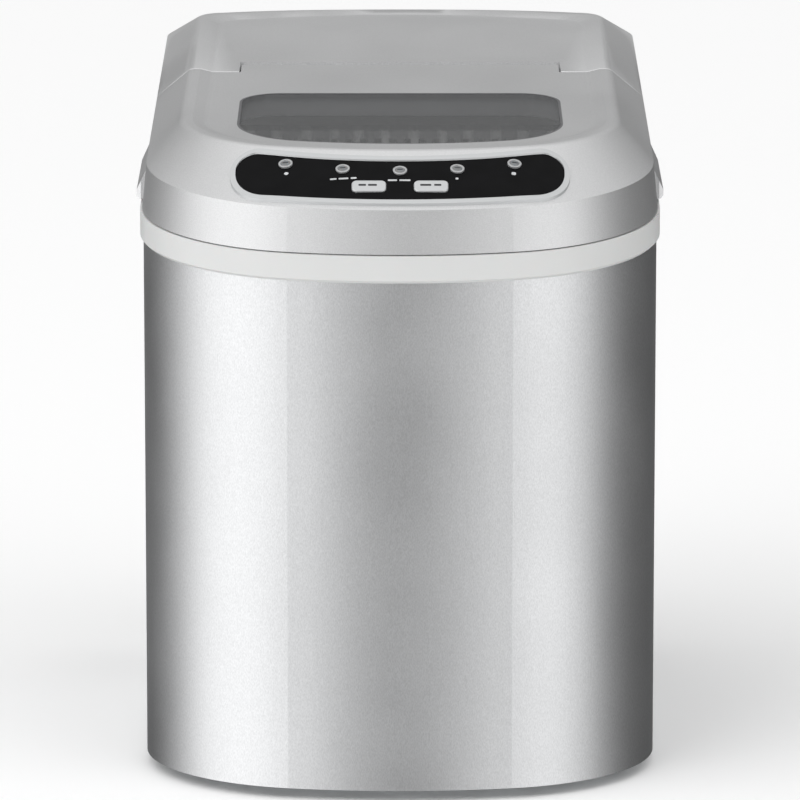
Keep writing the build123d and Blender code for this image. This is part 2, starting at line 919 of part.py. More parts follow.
def make_insulation():
    foam_back = bay_front - clearance
    top = rising(seam_z - insulation_gap, seam_slope)
    low = tub_floor_z - insulation_floor
    outer = prism(outline(wrap_inner + insulation_gap), low, height_limit)
    outer &= block(-half, half, front_y, foam_back, low, height_limit)
    foam = outer & below(top)
    foam -= prism(
        outline(tub_inset - clearance, tub_back + clearance, tub_rear_corner),
        tub_floor_z - clearance, height_limit)
    foam -= rod(spout_radius, (spout_x, drain_y, 0), (spout_x, drain_y, tub_floor_z))
    foam -= rod(1.5 * pump_neck_radius, (pump_x, pump_y, 0), (pump_x, pump_y, tub_floor_z))
    return foam - block(
        hose_x - hose_channel, hose_x + hose_channel, tub_back, foam_back, 0, height_limit)


def basket_outline(inset):
    gap = tub_inset + tub_wall + basket_side_gap + inset
    return outline(gap, basket_back - inset, basket_corner - inset)


def make_basket():
    # slotted bin with a rolled rim and a front hand hold
    bin_ = prism(basket_outline(0), basket_floor, basket_rim)
    bin_ -= prism(basket_outline(basket_wall), basket_floor + basket_wall, basket_rim + 1)
    rim = prism(basket_outline(-basket_lip), basket_rim - basket_lip_height, basket_rim)
    bin_ += rim - prism(basket_outline(basket_wall), 0, basket_rim + 1)
    inner_half = half - tub_inset - tub_wall - basket_side_gap - basket_wall
    count = int(2 * (inner_half - 20) / (2 * basket_slot))
    for i in range(count):
        x = (i - (count - 1) / 2) * 2 * basket_slot
        slot = SlotOverall(basket_slot_length, basket_slot, rotation=90)
        y = basket_back - basket_corner - basket_slot_setback
        bin_ -= Pos(x, y, basket_floor - 1) * extrude(slot, basket_wall + 2)
    return bin_


def make_scoop():
    # open-fronted shovel with a straight handle, lying in the basket
    floor = basket_floor + basket_wall + clearance
    y = (tub_front + basket_back) / 2 + scoop_set_back
    outer = scoop_width / 2
    inner = outer - scoop_wall
    bowl = block(-scoop_length, 0, y - outer, y + outer, floor, floor + scoop_height)
    bowl = fillet(bowl.edges().filter_by(Axis.X).group_by(Axis.Z)[0], scoop_round)
    hollow = block(
        -scoop_length - 1, -scoop_wall, y - inner, y + inner, floor + scoop_wall, floor + scoop_height + 1)
    hollow = fillet(hollow.edges().filter_by(Axis.X).group_by(Axis.Z)[0], scoop_round - scoop_wall)
    handle = Pos(handle_length / 2 - scoop_wall / 2, y, floor + handle_rise) * Box(
        handle_length, handle_width, handle_thick)
    handle = fillet(handle.edges().filter_by(Axis.Z), handle_thick)
    return (bowl - hollow) + handle


def make_ramp():
    # slotted slope that guides the ice to the basket and lets water through
    side = half - tub_inset - tub_wall - clearance
    back = tub_back - tub_wall - clearance
    top = pivot_z - tray_reach - ramp_gap
    length = back - basket_back - ramp_gap
    plate = Box(2 * side, length, ramp_thick)
    for i in range(ramp_slot_count):
        x = (i - (ramp_slot_count - 1) / 2) * ramp_slot_pitch
        slot = SlotOverall(length - 2 * ramp_margin, ramp_slot_width, rotation=90)
        plate -= Pos(x, 0, -ramp_thick) * extrude(slot, 2 * ramp_thick)
    tilt = Rot(math.degrees(math.atan(ramp_slope)), 0, 0)
    drop = ramp_slope * length / 2
    ramp = Pos(0, back - length / 2 - clearance, top - drop) * tilt * plate
    inset = tub_inset + tub_wall + clearance
    return ramp & prism(outline(inset, back, tub_rear_corner - tub_wall), 0, height_limit)


# ---- evaporator, tray and their drive ----

manifold_z = pivot_z + manifold_above


def at_pivot(x, y, z):
    return Location((x, pivot_y + y, pivot_z + z))


def finger_rows():
    rows = []
    for count, y in ((finger_front_count, finger_front_y), (finger_rear_count, finger_rear_y)):
        for i in range(count):
            rows.append(((i - (count - 1) / 2) * finger_pitch, y))
    return rows


def make_fingers():
    solids = []
    top = manifold_above - manifold_radius
    for x, y in finger_rows():
        finger = Pos(0, 0, -finger_length / 2) * Cylinder(finger_radius, finger_length)
        finger = fillet(finger.edges().group_by(Axis.Z)[0], finger_round)
        solids.append(at_pivot(x, y, top) * finger)
    return solids


def make_manifold():
    # two cross tubes joined by a return bend, flattened where the fingers are brazed on
    reach = (finger_front_count - 1) / 2 * finger_pitch + manifold_overhang
    bend = (finger_rear_y - finger_front_y) / 2 - 0.5
    path = [
        (-reach, pivot_y + finger_front_y, manifold_z),
        (reach, pivot_y + finger_front_y, manifold_z),
        (reach, pivot_y + finger_rear_y, manifold_z),
        (-reach, pivot_y + finger_rear_y, manifold_z),
    ]
    tube = pipe(path, manifold_radius, bend)
    for x, y in finger_rows():
        tube += at_pivot(x, y, manifold_above - manifold_radius / 2) * Cylinder(
            finger_radius + finger_collar, manifold_radius)
    return tube


def make_tray():
    # open trough that hangs from its pivot and tips to the rear
    outer = block(
        -tray_half - tray_wall, tray_half + tray_wall, pivot_y - tray_front - tray_wall,
        pivot_y + tray_rear + tray_wall, pivot_z - tray_floor - tray_wall, pivot_z - tray_rim)
    outer = fillet(outer.edges().filter_by(Axis.X).group_by(Axis.Z)[0], tray_round)
    inner = block(
        -tray_half, tray_half, pivot_y - tray_front, pivot_y + tray_rear,
        pivot_z - tray_floor, pivot_z)
    inner = fillet(inner.edges().filter_by(Axis.X).group_by(Axis.Z)[0], tray_round - tray_wall)
    tray = outer - inner
    for s in (-1, 1):
        x0 = s * tray_half
        x1 = s * (tray_half + tray_wall)
        ear = block(
            min(x0, x1), max(x0, x1), pivot_y - tray_ear, pivot_y + tray_ear,
            pivot_z - tray_ear_drop, pivot_z)
        ear += rod(tray_ear, (x0, pivot_y, pivot_z), (x1, pivot_y, pivot_z))
        tray += ear
        tray -= rod(tray_pin_radius, (x0 - s, pivot_y, pivot_z), (x1 + s, pivot_y, pivot_z))
    return tray


def make_tray_pins():
    pins = []
    for s in (-1, 1):
        end = s * (cheek_half + cheek_wall + tray_wall)
        pins.append(rod(
            tray_pin_radius, (s * tray_half, pivot_y, pivot_z), (end, pivot_y, pivot_z)))
    return pins


def make_pusher():
    # comb along the tray's front lip that sweeps the ice forward
    y = pivot_y - tray_front - tray_wall
    low = pivot_z - tray_floor + tray_round
    middle = pivot_z - tray_ear_drop - tray_rim
    bar = block(-tray_half, tray_half, y - tooth_thick, y, middle, pivot_z - tray_rim - 1)
    for i in range(tooth_count):
        x = (i - (tooth_count - 1) / 2) * tooth_pitch
        bar += block(x - tooth_width / 2, x + tooth_width / 2, y - tooth_thick, y, low, middle + 1)
    return bar


def make_tray_bracket():
    # cheeks that carry the tray's pivots, joined to the rear wall of the tub
    cheeks = []
    back = tub_back - tub_wall
    for s in (-1, 1):
        x0 = s * cheek_half
        x1 = s * (cheek_half + cheek_wall)
        cheek = block(
            min(x0, x1), max(x0, x1), pivot_y + cover_inner_y, back, pivot_z - tray_ear_drop,
            cover_z - panel_wall)
        cheek -= rod(
            tray_pin_radius + running, (x0 - s, pivot_y, pivot_z), (x1 + s, pivot_y, pivot_z))
        cheeks.append(cheek)
    return cheeks


cover_inner_y = -cover_front + panel_wall


def make_evaporator_cover():
    # housing over the evaporator: plain top, ribbed front
    side = cheek_half + cheek_wall
    outer_half = side + panel_wall
    back = tub_back - tub_wall
    y0 = pivot_y - cover_front
    low = pivot_z + cover_rise
    solid = block(-outer_half, outer_half, y0, back, low, cover_z)
    solid = fillet(solid.edges().group_by(Axis.Y)[0].filter_by(Axis.Z), cover_round)
    solid -= block(-side, side, y0 + panel_wall, back + 1, low - 1, cover_z - panel_wall)
    wide = cover_groove_width / 2
    for i in range(cover_groove_count):
        x = (i - (cover_groove_count - 1) / 2) * cover_groove_pitch
        solid -= block(
            x - wide, x + wide, y0 - 1, y0 + panel_wall + 1, low + 2 * panel_wall, cover_z - 2 * panel_wall)
    return solid


def make_gear_motor():
    x0 = cheek_half + cheek_wall + panel_wall + clearance
    x1 = x0 + gear_box_thick
    wide = gear_box_length / 2
    low = pivot_z + manifold_above - gear_box_length * 5 / 6
    body = block(x0, x1, pivot_y - wide, pivot_y + wide, low, pivot_z + manifold_above)
    body = fillet(body.edges().filter_by(Axis.X), gear_box_round)
    drum_z = (low + pivot_z + manifold_above) / 2
    return body + rod(
        gear_drum_radius, (x1 - 1, pivot_y, drum_z), (x1 + gear_drum_proud, pivot_y, drum_z))


def make_suction_line():
    x = line_half
    y = pivot_y + finger_rear_y
    back = tub_back + line_set_back
    over = compressor_top + 2 * line_bend
    inlet_x = compressor_x + line_set_back
    inlet_y = back + 3 * line_bend
    return pipe([
        (x, y, manifold_z + manifold_radius / 2), (x, y, line_z), (x, back, line_z),
        (x, back, over), (inlet_x, inlet_y, over), (inlet_x, inlet_y, compressor_top),
    ], line_radius, line_bend) - make_manifold()


def make_hot_gas_line():
    x = -line_half
    y = pivot_y + finger_rear_y
    back = tub_back + line_set_back
    return pipe([
        (x, y, manifold_z + manifold_radius / 2), (x, y, line_z), (x, back, line_z),
        (x, back, valve_z + valve_body[2] / 2),
    ], line_radius, line_bend) - make_manifold()


# ---- rear bay ----

compressor_low = floor_top + grommet_height
compressor_top = compressor_low + compressor_height
valve_z = compressor_top + 0.85 * valve_body[2]
condenser_x = -half + wrap_inner + condenser_gap
fan_x = condenser_x + condenser_depth + condenser_gap
hub_x = fan_x + blade_root
spoke_x = fan_x + fan_depth + blade_root + 1
motor_face_x = spoke_x + shroud_wall
fan_y = (condenser_front + condenser_back) / 2
fan_z = (grille_z[0] + grille_z[1]) / 2
gland_x = recess_half - gland_in
gland_z = recess_low + gland_up
spout_x = -gland_x
spout_z = recess_low + spout_up
drain_y = tub_back - drain_set_back
pump_x = 20.0
pump_y = tub_back - pump_set_back
pump_out_x = pump_x - pump_outlet_shift
panel_screw_spots = [
    (s * (recess_half - screw_margin), z) for s in (-1, 1)
    for z in (pan_top + screw_margin, rise_at(seam_z, seam_slope, rear_y) - 2 * screw_margin)
]
grommet_ring = compressor_radius - 4.0
grommet_spots = [
    (grommet_ring * math.sin(math.radians(a)), -grommet_ring * math.cos(math.radians(a)))
    for a in (0, 131, 229)
]


def make_compressor():
    body = Pos(0, 0, compressor_height / 2) * Cylinder(compressor_radius, compressor_height)
    body = fillet(body.edges().filter_by(GeomType.CIRCLE), compressor_round)
    body += Pos(0, 0, compressor_seam) * Cylinder(compressor_radius - 1, 2 * compressor_seam)
    body += Pos(0, 0, seam_height) * Cylinder(
        compressor_radius + compressor_seam, 3 * compressor_seam)
    body += Pos(compressor_radius - 2, -4, terminal_height) * Box(*terminal_box)
    spot = Pos(compressor_x, compressor_y, compressor_low)
    body = spot * body
    for x, y in grommet_spots:
        px = compressor_x + x
        py = compressor_y + y
        body -= rod(screw_radius + running, (px, py, 0), (px, py, compressor_low + grommet_height))
    return body


def make_grommets():
    rings = []
    for x, y in grommet_spots:
        px = compressor_x + x
        py = compressor_y + y
        ring = rod(grommet_radius, (px, py, floor_top), (px, py, compressor_low))
        ring -= rod(grommet_bore, (px, py, 0), (px, py, compressor_low + 1))
        rings.append(ring)
    return rings


def make_compressor_bolts():
    bolts = []
    for x, y in grommet_spots:
        px = compressor_x + x
        py = compressor_y + y
        bolts.append(rod(
            screw_radius, (px, py, floor_top), (px, py, compressor_low + grommet_height - 2)))
    return bolts


def condenser_spots():
    pitch = condenser_length / condenser_runs
    return [condenser_front + (i + 0.5) * pitch for i in range(condenser_runs)]


def make_condenser_tube():
    x = condenser_x + condenser_depth / 2
    low, high = grille_z
    points = []
    for i, y in enumerate(condenser_spots()):
        ends = (low, high) if i % 2 == 0 else (high, low)
        points += [(x, y, ends[0]), (x, y, ends[1])]
    pitch = condenser_length / condenser_runs
    return pipe(points, condenser_tube_radius, pitch / 2 - 0.3)


def make_fins():
    low, high = grille_z
    margin = condenser_length / condenser_runs / 2 + 2
    span = high - low - 2 * margin
    fins = []
    x = condenser_x + condenser_depth / 2
    for i in range(fin_count):
        z = low + margin + i * span / (fin_count - 1)
        fin = Pos(x, fan_y, z) * Box(condenser_depth, condenser_length, fin_thick)
        for y in condenser_spots():
            fin -= Pos(x, y, z) * Cylinder(condenser_tube_radius + running, 3)
        fins.append(fin)
    return fins


def make_shroud():
    # ring and back plate that duct the fan's air through the condenser, with spokes for the motor
    bore = fan_radius + fan_tip_gap
    outer = bore + shroud_wall
    ring = rod(outer, (fan_x, fan_y, fan_z), (spoke_x, fan_y, fan_z))
    plate = block(
        fan_x, fan_x + shroud_wall, condenser_front + 1, condenser_back - 1, *grille_z)
    solid = ring + plate - rod(bore, (fan_x - 1, fan_y, fan_z), (spoke_x + 1, fan_y, fan_z))
    rim = rod(outer, (spoke_x, fan_y, fan_z), (motor_face_x, fan_y, fan_z))
    solid += rim - rod(fan_radius - 1, (spoke_x - 1, fan_y, fan_z), (motor_face_x + 1, fan_y, fan_z))
    middle_x = (spoke_x + motor_face_x) / 2
    for i in range(spoke_count):
        spoke = Pos(0, 0, bore / 2) * Box(shroud_wall, spoke_width, bore)
        solid += Pos(middle_x, fan_y, fan_z) * Rot(360 / spoke_count * i + 90, 0, 0) * spoke
    solid += rod(fan_motor_radius, (spoke_x, fan_y, fan_z), (motor_face_x, fan_y, fan_z))
    return solid - rod(motor_mount_bore, (spoke_x - 1, fan_y, fan_z), (motor_face_x + 1, fan_y, fan_z))


def make_fan_motor():
    end_x = motor_face_x + fan_motor_length
    body = rod(fan_motor_radius, (motor_face_x, fan_y, fan_z), (end_x, fan_y, fan_z))
    body = fillet(body.edges().filter_by(GeomType.CIRCLE).group_by(Axis.X)[-1], shroud_wall)
    return body + rod(fan_shaft_radius, (hub_x, fan_y, fan_z), (motor_face_x + 1, fan_y, fan_z))


def make_fan_blade():
    hub = rod(fan_hub_radius, (hub_x, fan_y, fan_z), (fan_x + fan_depth, fan_y, fan_z))
    middle_x = (hub_x + fan_x + fan_depth) / 2
    length = fan_radius - fan_hub_radius + blade_root
    blade = Pos(0, 0, fan_hub_radius - blade_root + length / 2) * Rot(0, 0, fan_pitch) * Box(
        blade_thick, blade_width, length)
    solid = hub
    for i in range(fan_blades):
        solid += Pos(middle_x, fan_y, fan_z) * Rot(360 / fan_blades * i, 0, 0) * blade
    solid &= rod(fan_radius, (fan_x, fan_y, fan_z), (spoke_x, fan_y, fan_z))
    return solid - rod(fan_shaft_radius + running, (fan_x, fan_y, fan_z), (spoke_x, fan_y, fan_z))


def make_filter_drier():
    y = bay_front + drier_tail
    low = compressor_top - 40
    body = rod(drier_radius, (drier_x, y, low), (drier_x, y, low + drier_length))
    body = fillet(body.edges().filter_by(GeomType.CIRCLE), drier_radius / 2)
    return body + rod(
        drier_radius / 4, (drier_x, y, low - drier_tail), (drier_x, y, low + drier_length + drier_tail))


def make_hot_gas_valve():
    y = tub_back + line_set_back
    body = Pos(-line_half, y, valve_z) * Box(*valve_body)
    body = fillet(body.edges().filter_by(Axis.Z), line_radius)
    foot = valve_z - valve_body[2] / 2
    return body + rod(valve_tail_radius, (-line_half, y, foot - drier_tail), (-line_half, y, foot))


def make_discharge_line():
    # from the compressor shell to the top of the condenser
    start_x = compressor_x - compressor_round
    start_y = compressor_y + 2 * line_bend
    end_x = condenser_x + condenser_depth / 2 + line_set_back
    end_y = condenser_spots()[-1]
    end_z = grille_z[1] + compressor_round
    over = end_z + 3 * discharge_bend
    return pipe([
        (start_x, start_y, compressor_top), (start_x, start_y, over),
        (end_x, end_y, over), (end_x, end_y, end_z),
    ], discharge_radius, discharge_bend)


# ---- electrics and water ----

box_x = half - wrap_inner - clearance
box_low = rise_at(seam_z, seam_slope, bay_front) - box_drop
box_front = bay_front + box_wall


def make_board_box():
    # tray for the main board, open towards the rear bay
    back = box_front + box_length
    box = block(box_x - box_thick, box_x, box_front, back, box_low, box_low + box_height)
    return box - block(
        box_x - box_thick - 1, box_x - box_wall, box_front + box_wall, back - box_wall,
        box_low + box_wall, box_low + box_height - box_wall)


def make_main_board():
    # board on two posts, with relays, a transformer and connectors
    x0 = box_x - box_wall - main_board_gap
    y0 = box_front + box_wall + 1
    y1 = box_front + box_length - box_wall - 1
    z0 = box_low + box_wall + 1
    z1 = box_low + box_height - box_wall - 1
    board = block(x0, x0 + board_thick, y0, y1, z0, z1)
    for y, z, dy, dz, dx in parts_on_board:
        board += Pos(x0 - dx / 2, y0 + y, z0 + z) * Box(dx, dy, dz)
    for y, z in ((y0 + post, z0 + post), (y1 - post, z1 - post)):
        board += block(
            x0 + board_thick, box_x - box_wall, y - post / 2, y + post / 2, z - post / 2, z + post / 2)
    return board


def make_pump():
    length, breadth, height = pump_body
    body = Pos(pump_x, pump_y, floor_top + height / 2) * Box(length, breadth, height)
    body = fillet(body.edges().filter_by(Axis.Z), 2 * pump_outlet_radius)
    neck_top = tub_floor_z + 2 * tub_wall
    neck = rod(pump_neck_radius, (pump_x, pump_y, floor_top + height - 1), (pump_x, pump_y, neck_top))
    outlet_y = pump_y + breadth / 2
    z = floor_top + pump_outlet_rise
    outlet = rod(pump_outlet_radius, (pump_out_x, outlet_y - 1, z), (pump_out_x, outlet_y + 2 * hose_bend, z))
    return body + neck + outlet


def make_pump_hose():
    # over the pump's outlet, up behind the tub and out above the tray
    z = floor_top + pump_outlet_rise
    y = tub_back + hose_radius + 0.1
    return pipe([
        (pump_out_x, pump_y + pump_body[1] / 2 + hose_bend, z), (pump_out_x, y, z),
        (hose_x, y, z + 2 * pump_outlet_rise), (hose_x, y, line_z),
        (hose_x, pivot_y + tray_rear / 2, line_z),
    ], hose_radius, hose_bend, hose_radius - hose_wall)


def make_drain_hose():
    return pipe([
        (spout_x, drain_y, tub_floor_z - 1), (spout_x, drain_y, spout_z),
        (spout_x, panel_y - spout_length + 1, spout_z),
    ], drain_radius, drain_bend, drain_radius - drain_wall)


def make_ice_sensors():
    # an emitter and a receiver that look across the top of the ice
    side = half - tub_inset - tub_wall
    front = basket_back + ramp_gap
    middle_z = basket_rim + sensor_above
    eyes = []
    for s in (-1, 1):
        x0 = s * side
        x1 = s * (side - sensor_proud)
        eye = block(
            min(x0, x1), max(x0, x1), front, front + sensor_length,
            middle_z - sensor_height / 2, middle_z + sensor_height / 2)
        eyes.append(fillet(eye.edges().filter_by(Axis.X), sensor_height / 4))
    return eyes


def make_level_probes():
    probes = []
    y = tub_back - tub_wall - 3 * probe_radius
    top = tub_floor_z + probe_top
    for side in (-1, 1):
        x = probe_x + side * probe_spread / 2
        stem = rod(probe_radius, (x, y, top - 15 * probe_radius), (x, y, top))
        holder = block(
            x - 2 * probe_radius, x + 2 * probe_radius, y - 1.5 * probe_radius, y + 3 * probe_radius,
            top - 2 * probe_radius, top + 2 * probe_radius)
        probes.append(stem + holder)
    return probes


def main():
    os.makedirs("parts", exist_ok=True)
    write("base_pan", make_base_pan())
    write("rubber_feet", *make_feet())
    write("foot_screws", *make_foot_screws())
    write("body_wrap", make_body_wrap())
    write("air_outlet_grille", make_outlet_grille())
    write("rear_panel", make_rear_panel())
    write("rear_panel_screws", *make_panel_screws())
    write("cord_gland", make_cord_gland())
    write("drain_spout", make_drain_spout())
    write("drain_plug", make_drain_plug())
    write("top_frame", make_top_frame())
    write("lid_shell", make_lid_shell())
    write("hinge_pins", *make_hinge_pins())
    write("rear_top_cover", make_rear_cover())
    write("lid_window", make_lid_window())
    write("window_gasket", make_window_gasket())
    write("lid_liner", make_lid_liner())
    write("control_overlay", make_overlay())
    write("control_bezel", make_bezel())
    write("indicator_lenses", *make_led_lenses())
    write("power_button", make_button(-1))
    write("select_button", make_button(1))
    write("display_board", make_display_board())
    write("inner_tub", make_inner_tub())
    write("tub_insulation", make_insulation())
    write("ice_basket", make_basket())
    write("ice_scoop", make_scoop())
    write("ice_ramp", make_ramp())
    write("evaporator_fingers", *make_fingers())
    write("evaporator_manifold", make_manifold())
    write("evaporator_cover", make_evaporator_cover())
    write("water_tray", make_tray())
    write("tray_pins", *make_tray_pins())
    write("ice_pusher", make_pusher())
    write("tray_bracket", *make_tray_bracket())
    write("tray_gear_motor", make_gear_motor())
    write("suction_line", make_suction_line())
    write("hot_gas_line", make_hot_gas_line())
    write("compressor", make_compressor())
    write("compressor_grommets", *make_grommets())
    write("compressor_bolts", *make_compressor_bolts())
    write("condenser_tube", make_condenser_tube())
    write("condenser_fins", *make_fins())
    write("fan_shroud", make_shroud())
    write("fan_motor", make_fan_motor())
    write("fan_blade", make_fan_blade())
    write("filter_drier", make_filter_drier())
    write("hot_gas_valve", make_hot_gas_valve())
    write("discharge_line", make_discharge_line())
    write("board_box", make_board_box())
    write("main_board", make_main_board())
    write("water_pump", make_pump())
    write("pump_hose", make_pump_hose())
    write("drain_hose", make_drain_hose())
    write("ice_full_sensors", *make_ice_sensors())
    write("level_probes", *make_level_probes())


main()
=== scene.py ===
import json
import math
import bpy
from mathutils import Matrix, Vector


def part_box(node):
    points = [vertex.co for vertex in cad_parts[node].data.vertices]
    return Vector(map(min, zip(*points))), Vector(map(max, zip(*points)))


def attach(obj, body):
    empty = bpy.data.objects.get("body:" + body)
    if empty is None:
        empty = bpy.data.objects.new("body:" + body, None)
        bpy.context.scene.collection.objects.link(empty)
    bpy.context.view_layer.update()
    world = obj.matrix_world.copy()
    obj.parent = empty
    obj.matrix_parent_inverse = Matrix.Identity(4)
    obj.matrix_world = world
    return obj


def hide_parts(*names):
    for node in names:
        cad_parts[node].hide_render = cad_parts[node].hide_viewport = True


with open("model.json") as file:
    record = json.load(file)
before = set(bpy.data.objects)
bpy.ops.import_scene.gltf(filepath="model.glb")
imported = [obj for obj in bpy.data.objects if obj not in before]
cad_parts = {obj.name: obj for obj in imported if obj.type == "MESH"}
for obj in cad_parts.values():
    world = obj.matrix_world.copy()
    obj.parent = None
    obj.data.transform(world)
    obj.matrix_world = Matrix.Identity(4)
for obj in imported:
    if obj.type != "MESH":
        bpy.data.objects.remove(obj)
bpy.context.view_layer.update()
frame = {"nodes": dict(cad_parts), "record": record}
nodes = frame["nodes"]
print("frame loaded:", len(nodes), "nodes")


# camera, floor and lights

view = {
    "target": (0.0, 0.0, 0.164),
    "distance": 2.70,
    "pitch": 9.4,
    "lens": 252.0,
    "drop": 0.0212,  # the target stands this much of the frame above its middle
}

floorLook = {"size": 9.0, "colour": (0.97, 0.97, 0.97), "roughness": 0.7}

# soft walls all round: degrees round from the front, and how bright the wall is there
wallLevels = (
    (-180, 0.13), (-150, 0.03), (-124, 0.08), (-104, 0.62), (-84, 1.60), (-55, 1.75), (-38, 1.56),
    (-22, 1.44), (-12, 0.50), (0, 0.0), (12, 0.44), (22, 1.22), (38, 1.42), (58, 1.42), (74, 1.05),
    (90, 0.30), (112, 0.08), (150, 0.03), (180, 0.13))
# the ceiling: height of the direction above the horizon as a share, and its brightness
ceilingLevels = ((0.0, 0.0), (0.05, 0.10), (0.34, 0.34), (0.60, 0.46), (0.80, 1.00), (1.0, 1.25))
keyLamp = {"place": (-1.2, -2.0, 2.2), "size": 1.4, "power": 10}


def makeCamera():
    pitch = math.radians(view["pitch"])
    target = Vector(view["target"])
    away = Vector((0, -math.cos(pitch), math.sin(pitch)))
    data = bpy.data.cameras.new("camera")
    data.lens = view["lens"]
    data.sensor_width = 36
    data.shift_y = -view["drop"]
    data.clip_end = 20
    camera = bpy.data.objects.new("camera", data)
    bpy.context.scene.collection.objects.link(camera)
    camera.location = target + away * view["distance"]
    camera.rotation_euler = (math.pi / 2 - pitch, 0, 0)
    bpy.context.scene.camera = camera


def makeFloor():
    bpy.ops.object.select_all(action="DESELECT")
    bpy.ops.mesh.primitive_plane_add(size=floorLook["size"], location=(0, 0, 0))
    floor = bpy.context.object
    floor.name = "floor"
    floor.visible_glossy = False
    paint = bpy.data.materials.new("floorPaint")
    paint.use_nodes = True
    shader = paint.node_tree.nodes["Principled BSDF"]
    shader.inputs["Base Color"].default_value = (*floorLook["colour"], 1)
    shader.inputs["Roughness"].default_value = floorLook["roughness"]
    floor.data.materials.append(paint)


def levelRamp(tree, levels, low, high):
    ramp = tree.nodes.new("ShaderNodeValToRGB")
    stops = ramp.color_ramp.elements
    while len(stops) < len(levels):
        stops.new(0.5)
    for stop, (at, level) in zip(stops, levels):
        stop.position = (at - low) / (high - low)
        stop.color = (level, level, level, 1)
    return ramp


def makeWorld():
    world = bpy.data.worlds.new("studio")
    bpy.context.scene.world = world
    world.use_nodes = True
    tree = world.node_tree
    links = tree.links
    place = tree.nodes.new("ShaderNodeTexCoord")
    split = tree.nodes.new("ShaderNodeSeparateXYZ")
    links.new(place.outputs["Generated"], split.inputs[0])
    back = tree.nodes.new("ShaderNodeMath")
    back.operation = "MULTIPLY"
    back.inputs[1].default_value = -1
    links.new(split.outputs["Y"], back.inputs[0])
    turn = tree.nodes.new("ShaderNodeMath")
    turn.operation = "ARCTAN2"
    links.new(split.outputs["X"], turn.inputs[0])
    links.new(back.outputs[0], turn.inputs[1])
    share = tree.nodes.new("ShaderNodeMapRange")
    share.inputs["From Min"].default_value = -math.pi
    share.inputs["From Max"].default_value = math.pi
    links.new(turn.outputs[0], share.inputs["Value"])
    walls = levelRamp(tree, wallLevels, -180, 180)
    ceiling = levelRamp(tree, ceilingLevels, 0, 1)
    links.new(share.outputs["Result"], walls.inputs["Fac"])
    links.new(split.outputs["Z"], ceiling.inputs["Fac"])
    brighter = tree.nodes.new("ShaderNodeMix")
    brighter.data_type = "RGBA"
    brighter.blend_type = "LIGHTEN"
    brighter.inputs["Factor"].default_value = 1
    links.new(walls.outputs["Color"], brighter.inputs[6])
    links.new(ceiling.outputs["Color"], brighter.inputs[7])
    links.new(brighter.outputs[2], tree.nodes["Background"].inputs["Color"])


def makeKeyLamp():
    data = bpy.data.lights.new("keyLamp", "AREA")
    data.size = keyLamp["size"]
    data.energy = keyLamp["power"]
    lamp = bpy.data.objects.new("keyLamp", data)
    bpy.context.scene.collection.objects.link(lamp)
    lamp.location = keyLamp["place"]
    aim = Vector(view["target"]) - Vector(keyLamp["place"])
    lamp.rotation_euler = aim.to_track_quat("-Z", "Y").to_euler()


bpy.context.scene.view_settings.view_transform = "Standard"
makeCamera()
makeFloor()
makeWorld()
makeKeyLamp()
print("camera, floor and lights are in place")


# materials: every finish reads Object coordinates, in metres

def addNode(paint, kind, values=None, **settings):
    node = paint.node_tree.nodes.new(kind)
    for key, value in settings.items():
        setattr(node, key, value)
    for key, value in (values or {}).items():
        node.inputs[key].default_value = value
    return node


def join(paint, start, end, outlet=0, inlet=0):
    paint.node_tree.links.new(start.outputs[outlet], end.inputs[inlet])


def newPaint(name, look):
    paint = bpy.data.materials.new(name)
    paint.use_nodes = True
    shader = paint.node_tree.nodes["Principled BSDF"]
    shader.inputs["Base Color"].default_value = (*look["colour"], 1)
    shader.inputs["Metallic"].default_value = look.get("metallic", 0)
    shader.inputs["Roughness"].default_value = look["roughness"]
    shader.inputs["IOR"].default_value = look.get("ior", 1.5)
    shader.inputs["Specular IOR Level"].default_value = look.get("shine", 0.5)
    shader.inputs["Coat Weight"].default_value = look.get("coat", 0)
    shader.inputs["Coat Roughness"].default_value = look.get("coatRoughness", 0.1)
    return paint, shader


def noiseAt(paint, scale, detail=3.0, stretch=(1, 1, 1), kind="ShaderNodeTexNoise"):
    place = addNode(paint, "ShaderNodeTexCoord")
    turn = addNode(paint, "ShaderNodeMapping", {"Scale": stretch})
    noise = addNode(paint, kind, {"Scale": scale})
    if kind == "ShaderNodeTexNoise":
        noise.inputs["Detail"].default_value = detail
    join(paint, place, turn, "Object", "Vector")
    join(paint, turn, noise, 0, "Vector")
    return noise


def spread(paint, source, low, high, outlet=0, edges=(0.3, 0.7)):
    fit = addNode(paint, "ShaderNodeMapRange", {
        "From Min": edges[0], "From Max": edges[1], "To Min": low, "To Max": high})
    join(paint, source, fit, outlet, "Value")
    return fit


def tint(paint, shader, source, dark, light, outlet=0, edges=(0.3, 0.7)):
    ramp = addNode(paint, "ShaderNodeValToRGB")
    first, last = ramp.color_ramp.elements
    first.position, last.position = edges
    first.color = (*dark, 1)
    last.color = (*light, 1)
    join(paint, source, ramp, outlet, "Fac")
    join(paint, ramp, shader, "Color", "Base Color")
    return ramp


def bump(paint, shader, source, depth, outlet=0, under=None):
    bumps = addNode(paint, "ShaderNodeBump", {"Strength": 0.6, "Distance": depth})
    join(paint, source, bumps, outlet, "Height")
    if under is not None:
        join(paint, under, bumps, "Normal", "Normal")
    join(paint, bumps, shader, "Normal", "Normal")
    return bumps


def shade(colour, share):
    return tuple(channel * share for channel in colour)


